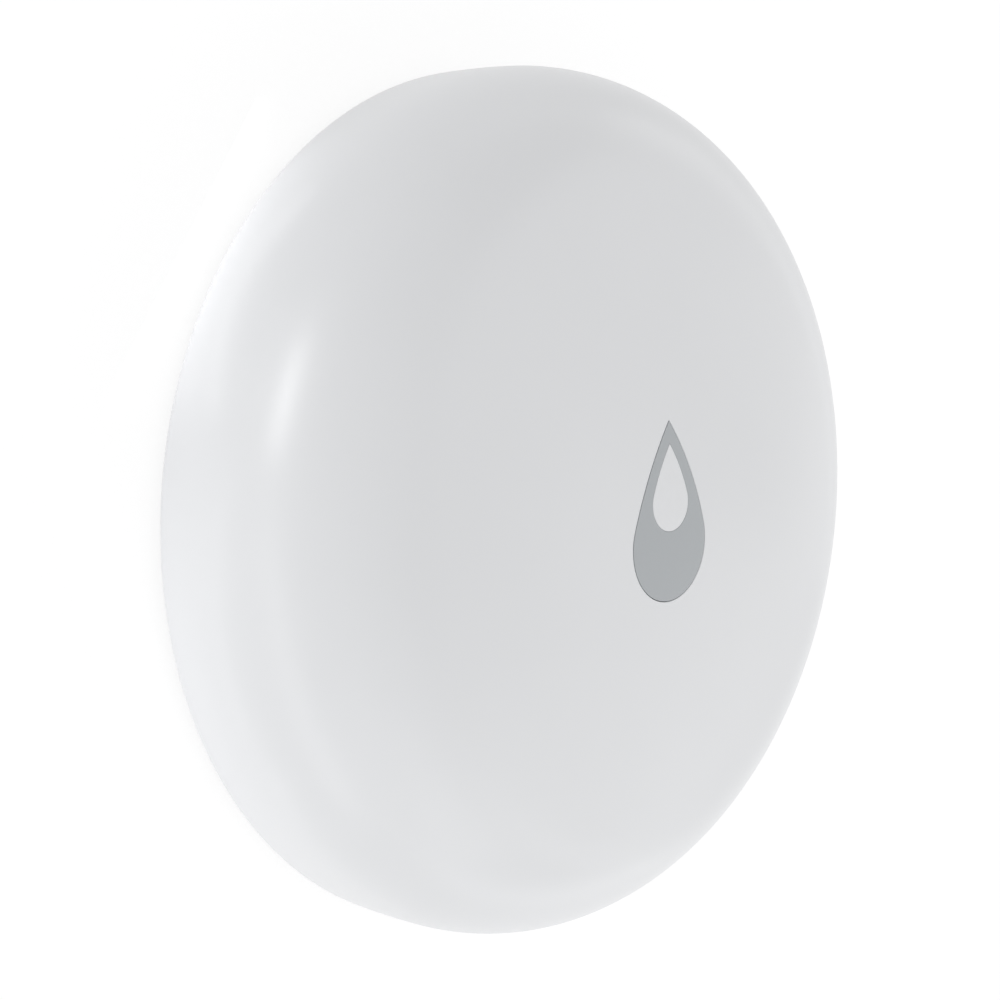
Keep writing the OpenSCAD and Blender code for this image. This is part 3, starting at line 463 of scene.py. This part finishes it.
# Battery cover.
# A white ABS moulding with a coin slot in its face, a cup for the cell and three bayonet lugs. It turns to open.
# Its face is a shade smoother than the base plate, as it has a mould of its own.
dress("battery_cover", moulded_finish("white_satin_abs", ("#E1E2E4", "#E7E8E9"), (0.42, 0.54), 0.10, 0.008, 1.53))

# Coin cell.
# A deep-drawn nickel-plated can, crimped over a plastic ring that parts it from the cap.
CELL_R, CELL_Z = 10.0, (3.05, 5.25, 5.75, 6.25)
CELL_CAP_R, CELL_RING_R, CELL_RING_TOP, CELL_MIDDLE_R = 8.7, 9.2, 5.85, 0.5
CAN_RADII, CAP_RADII = (0.35, 0.28, 0.08, 0.0), (0.0, 0.25)
low, sill, crimp, top = CELL_Z
CAN_SIDE = [
    (CELL_MIDDLE_R, low), (CELL_R, low), (CELL_R, crimp),
    (CELL_RING_R, crimp), (CELL_RING_R, sill), (CELL_MIDDLE_R, sill),
]
RING_SIDE = [(CELL_CAP_R, sill), (CELL_RING_R, sill), (CELL_RING_R, CELL_RING_TOP), (CELL_CAP_R, CELL_RING_TOP)]
CAP_SIDE = [(CELL_MIDDLE_R, sill), (CELL_CAP_R, sill), (CELL_CAP_R, top), (CELL_MIDDLE_R, top)]


def metal_finish(name, tones, rough, line, depth):
    """A bare or plated metal: lines of a width in mm, drawn twelve times as long along Y, from rolling or tumbling."""
    material, tree = bare_material(name)
    spot = add_node(tree, "ShaderNodeTexCoord").outputs["Object"]
    drawn = add_node(tree, "ShaderNodeMapping", {"Vector": spot, "Scale": (1.0, 1 / 12, 1.0)}).outputs[0]
    lines = add_node(tree, "ShaderNodeTexNoise", {"Vector": drawn, "Scale": 1 / (line * MM), "Detail": 4.0})
    lines = lines.outputs["Fac"]
    tone = add_node(tree, "ShaderNodeMix", {0: lines, 6: linear(tones[0]), 7: linear(tones[1])}, data_type="RGBA")
    dull = add_node(tree, "ShaderNodeMapRange", {"Value": lines, "To Min": rough[0], "To Max": rough[1]})
    lift = add_node(tree, "ShaderNodeBump", {"Height": lines, "Strength": 0.3, "Distance": depth * MM})
    shader = add_node(tree, "ShaderNodeBsdfPrincipled", {
        "Base Color": tone.outputs[2], "Metallic": 1.0, "Roughness": dull.outputs[0], "Normal": lift.outputs[0],
    })
    add_node(tree, "ShaderNodeOutputMaterial", {"Surface": shader.outputs[0]})
    return material


# Nickel plate over drawn steel: a bright grey with faint draw lines.
nickel = metal_finish("nickel_plate", ("#C2C3C4", "#D2D2D1"), (0.22, 0.36), 0.15, 0.003)
# Dark polypropylene ring, squeezed by the crimp.
cell_ring = moulded_finish("dark_polypropylene", ("#2A2C2E", "#37393B"), (0.50, 0.62), 0.3, 0.004, 1.49)
can = make_piece("cell_can", [skin(turned(rounded(CAN_SIDE, CAN_RADII)), wrap=False)], nickel)
ring = make_piece("cell_ring", [skin(turned(RING_SIDE), wrap=True)], cell_ring)
cap = make_piece("cell_cap", [skin(turned(rounded(CAP_SIDE, CAP_RADII)), wrap=False)], nickel)
for piece, slot, node in (
    (can, "cell_nickel", "coin_cell_can"),
    (ring, "cell_ring", "coin_cell_gasket"),
    (cap, "cell_nickel", "coin_cell_cap"),
):
    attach(piece, "housing")
    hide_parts(node)

# Contact springs.
# Two bent strips under the board, one on the side of the can and one on the cap.
# Nickel-plated phosphor bronze: a warm grey with rolling lines along the strip.
spring_strip = metal_finish("plated_spring_bronze", ("#BDB7A4", "#D2CCB8"), (0.22, 0.36), 0.08, 0.003)
dress("positive_contact", spring_strip)
dress("negative_contact", spring_strip)

# Circuit board.
# A round board of glass laminate under green solder mask, held by four zinc-plated screws.
TRACK_PITCH = 1.2
# Green solder mask: the copper tracks below it show as paler, raised lines, drawn wide so that they show.
mask, tree = bare_material("green_solder_mask")
spot = add_node(tree, "ShaderNodeTexCoord").outputs["Object"]
tracks = add_node(tree, "ShaderNodeTexBrick", {
    "Vector": spot, "Scale": 1 / (TRACK_PITCH * MM), "Mortar Size": 0.12, "Mortar Smooth": 0.1,
    "Brick Width": 3.0, "Row Height": 1.0,
}).outputs["Fac"]
weave = add_node(tree, "ShaderNodeTexNoise", {"Vector": spot, "Scale": 1 / (0.3 * MM)}).outputs["Fac"]
tone = add_node(tree, "ShaderNodeMix", {0: tracks, 6: linear("#1B5A3C"), 7: linear("#2C7A53")}, data_type="RGBA")
dull = add_node(tree, "ShaderNodeMapRange", {"Value": weave, "To Min": 0.28, "To Max": 0.42})
lift = add_node(tree, "ShaderNodeBump", {"Height": tracks, "Strength": 0.5, "Distance": 0.03 * MM})
shader = add_node(tree, "ShaderNodeBsdfPrincipled", {
    "Base Color": tone.outputs[2], "Roughness": dull.outputs[0], "IOR": 1.52, "Normal": lift.outputs[0],
})
add_node(tree, "ShaderNodeOutputMaterial", {"Surface": shader.outputs[0]})
dress("circuit_board", mask)
# Zinc plate, passivated: a bluish grey.
dress("board_screws", metal_finish("zinc_plate", ("#AEB3B8", "#C3C7CB"), (0.28, 0.42), 0.12, 0.003))

# Parts on the board.
# Soldered parts: a moulded radio, a canned crystal, a ceramic antenna, a tantalum capacitor, rows of chip
# capacitors and resistors with tinned ends, a light-emitting diode and a push switch.
CHIP_ROW_R, CHIP_BODY_HALF = 14.096, 0.5


def chip_finish(name, tones, rough):
    """A chip part with tinned ends: body where the distance from the board's middle is near that of the row, and tin
    beyond half the body's length from it."""
    material, tree = bare_material(name)
    spot = add_node(tree, "ShaderNodeTexCoord").outputs["Object"]
    flat = add_node(tree, "ShaderNodeVectorMath", {0: spot, 1: (1, 1, 0)}, operation="MULTIPLY")
    away = add_node(tree, "ShaderNodeVectorMath", {0: flat.outputs[0]}, operation="LENGTH").outputs["Value"]
    tin = add_node(tree, "ShaderNodeMath", {
        0: away, 1: CHIP_ROW_R * MM, 2: CHIP_BODY_HALF * MM,
    }, operation="COMPARE").outputs[0]
    speck = add_node(tree, "ShaderNodeTexNoise", {"Vector": spot, "Scale": 1 / (0.2 * MM)}).outputs["Fac"]
    body = add_node(tree, "ShaderNodeMix", {0: speck, 6: linear(tones[0]), 7: linear(tones[1])}, data_type="RGBA")
    tone = add_node(tree, "ShaderNodeMix", {0: tin, 6: linear("#C6C7C8"), 7: body.outputs[2]}, data_type="RGBA")
    metal = add_node(tree, "ShaderNodeMath", {0: 1.0, 1: tin}, operation="SUBTRACT")
    dull = add_node(tree, "ShaderNodeMapRange", {"Value": speck, "To Min": rough[0], "To Max": rough[1]})
    shader = add_node(tree, "ShaderNodeBsdfPrincipled", {
        "Base Color": tone.outputs[2], "Metallic": metal.outputs[0], "Roughness": dull.outputs[0],
    })
    add_node(tree, "ShaderNodeOutputMaterial", {"Surface": shader.outputs[0]})
    return material


# Filled epoxy of moulded packages: near black with a fine speckle.
epoxy = moulded_finish("black_epoxy", ("#202224", "#2C2E30"), (0.48, 0.62), 0.1, 0.004, 1.55)
# Plated lids and plates: rolled, with lines.
lid = metal_finish("plated_lid", ("#BFC1C3", "#CFD0D0"), (0.24, 0.38), 0.1, 0.002)
for node, material in (
    ("radio_chip", epoxy), ("switch_body", epoxy), ("crystal", lid), ("switch_plate", lid),
    # Fired ceramic, off-white and matt.
    ("chip_antenna", moulded_finish("fired_ceramic", ("#DBD5C6", "#E6E1D4"), (0.45, 0.60), 0.15, 0.003, 1.6)),
    # Epoxy of a tantalum capacitor: ochre.
    ("bulk_capacitor", moulded_finish("ochre_epoxy", ("#BC8028", "#CC9035"), (0.42, 0.55), 0.15, 0.003, 1.55)),
    ("chip_capacitors", chip_finish("chip_capacitor_ceramic", ("#A58A5B", "#B39A6C"), (0.34, 0.46))),
    ("chip_resistors", chip_finish("chip_resistor_glaze", ("#232527", "#2E3032"), (0.26, 0.38))),
    # Clear silicone over yellow phosphor.
    ("status_led", moulded_finish("phosphor_lens", ("#E9E2BE", "#F2ECCF"), (0.20, 0.30), 0.2, 0.001, 1.41)),
    # Polyamide stem: cream and slightly waxy.
    ("switch_stem", moulded_finish("cream_polyamide", ("#DDD6C6", "#E7E1D3"), (0.40, 0.52), 0.2, 0.002, 1.53)),
):
    dress(node, material)

# Floor.
# A plain white table top. The camera sees it as nearly white, and it keeps part of the object's shadow.
FLOOR_R, FLOOR_LIFT = 2000.0, 0.85
floor_mesh = bpy.data.meshes.new("floor")
corners = np.array([(-1, -1, 0), (1, -1, 0), (1, 1, 0), (-1, 1, 0)]) * FLOOR_R * MM
floor_mesh.from_pydata(corners.tolist(), [], [[0, 1, 2, 3]])
floor = bpy.data.objects.new("floor", floor_mesh)
bpy.context.scene.collection.objects.link(floor)


def looked_at(tree):
    """1 for rays from the camera, a mirror or a clear piece, and 0 for the rays that carry light to the object."""
    path = add_node(tree, "ShaderNodeLightPath")
    seen = path.outputs["Is Camera Ray"]
    for ray in ("Is Glossy Ray", "Is Transmission Ray"):
        seen = add_node(tree, "ShaderNodeMath", {0: seen, 1: path.outputs[ray]}, operation="MAXIMUM").outputs[0]
    return seen


# Matt white laminate: lit as any white sheet, with a plain white added where the camera or a mirror looks at it.
laminate, tree = bare_material("matt_white_laminate")
seen = looked_at(tree)
paper = add_node(tree, "ShaderNodeMix", {0: seen, 6: linear("#F0F0F0"), 7: linear("#7C7C7C")}, data_type="RGBA")
sheet = add_node(tree, "ShaderNodeBsdfDiffuse", {"Color": paper.outputs[2]})
lift = add_node(tree, "ShaderNodeMath", {0: seen, 1: FLOOR_LIFT}, operation="MULTIPLY")
white = add_node(tree, "ShaderNodeEmission", {"Color": (1.0, 1.0, 1.0, 1.0), "Strength": lift.outputs[0]})
both = add_node(tree, "ShaderNodeAddShader", {0: sheet.outputs[0], 1: white.outputs[0]})
add_node(tree, "ShaderNodeOutputMaterial", {"Surface": both.outputs[0]})
floor_mesh.materials.append(laminate)

# Studio light.
# Large soft boxes around the table, narrow strips low beside the object that brighten its wall, and a dim, even
# room.
MIDDLE = Vector((0.0, 0.0, TOP_Z / 2 * MM))
ROOM_LIGHT, ROOM_SEEN = 0.565, 1.0


def softbox(name, turn, rise, reach, size, power):
    """An area lamp at a turn and a rise in degrees and a reach in mm from the object, aimed at it; size in mm."""
    a, e = math.radians(turn), math.radians(rise)
    towards = Vector((math.cos(a) * math.cos(e), math.sin(a) * math.cos(e), math.sin(e)))
    lamp = bpy.data.lights.new(name, "AREA")
    lamp.shape, lamp.energy = "RECTANGLE", power
    lamp.size, lamp.size_y = size[0] * MM, size[1] * MM
    box = bpy.data.objects.new(name, lamp)
    box.location = MIDDLE + towards * reach * MM
    box.rotation_mode = "QUATERNION"
    box.rotation_quaternion = towards.to_track_quat("Z", "Y")
    box.visible_camera = False
    bpy.context.scene.collection.objects.link(box)


softbox("window strip", 153, 4, 500, (210, 80), 0.52)
softbox("left strip", 215, 5, 600, (900, 120), 0.6)
softbox("front box", 260, 30, 600, (600, 500), 0.38)
softbox("right box", 290, 45, 600, (450, 450), 0.32)
softbox("right strip", 300, 5, 600, (500, 120), 0.13)
softbox("far box", 330, 35, 600, (400, 400), 0.37)
softbox("far strip", 15, 8, 600, (600, 240), 0.24)
softbox("back box", 20, 45, 600, (450, 450), 0.3)
softbox("back strip", 50, 4, 600, (600, 180), 0.1)
softbox("low strip", 145, -14.7, 27.9, (18, 0.6), 8e-5)
softbox("low box", 152, -9, 45, (16, 2), 1.4e-4)
softbox("low side", 198, -12.7, 30, (30, 1.2), 1.15e-4)
softbox("low end", 236, -12.7, 30, (20, 1.2), 3.5e-5)

room = bpy.data.worlds.new("room")
bpy.context.scene.world = room
room.use_nodes = True
tree = room.node_tree
tree.nodes.clear()
seen = looked_at(tree)
even = add_node(tree, "ShaderNodeMapRange", {"Value": seen, "To Min": ROOM_LIGHT, "To Max": ROOM_SEEN}).outputs[0]
air = add_node(tree, "ShaderNodeBackground", {"Color": (1.0, 1.0, 1.0, 1.0), "Strength": even})
add_node(tree, "ShaderNodeOutputWorld", {"Surface": air.outputs[0]})

# Camera.
# It stands as in the photograph: the sensor's axis leans to the right and towards it, and the drop stands upright.
# Picture size in px, px to a mm at the object, and distance in mm; then the sensor's turns and its middle in px.
IMAGE, SCALE, REACH = 1000, 17.447, 143.89
LEAN, DROOP, ROLL = (math.radians(a) for a in (48.955, -6.073, 5.5))
CENTRE = (566.97, 506.22)
# The sensor's +Z, +Y and +X as the camera sees them: across, up and towards it.
n = np.array([math.sin(LEAN) * math.cos(DROOP), math.sin(LEAN) * math.sin(DROOP), math.cos(LEAN)])
y = np.array([0, 1, 0]) - n * n[1]
y /= np.linalg.norm(y)
x = np.cross(y, n)
axes = np.stack([x * math.cos(ROLL) + y * math.sin(ROLL), y * math.cos(ROLL) - x * math.sin(ROLL), n], 1)
offset = np.array([(IMAGE / 2 - CENTRE[0]) / SCALE, (CENTRE[1] - IMAGE / 2) / SCALE, REACH])
camera = bpy.data.objects.new("camera", bpy.data.cameras.new("camera"))
camera.data.sensor_width = 36.0
camera.data.lens = camera.data.sensor_width * SCALE * REACH / IMAGE
camera.data.clip_start, camera.data.clip_end = 10 * MM, 10000 * MM
place = Matrix(axes.T.tolist()).to_4x4()
place.translation = Vector(axes.T @ offset) * MM + MIDDLE
camera.matrix_world = place
bpy.context.scene.collection.objects.link(camera)
bpy.context.scene.camera = camera
bpy.context.scene.view_settings.view_transform = "Standard"
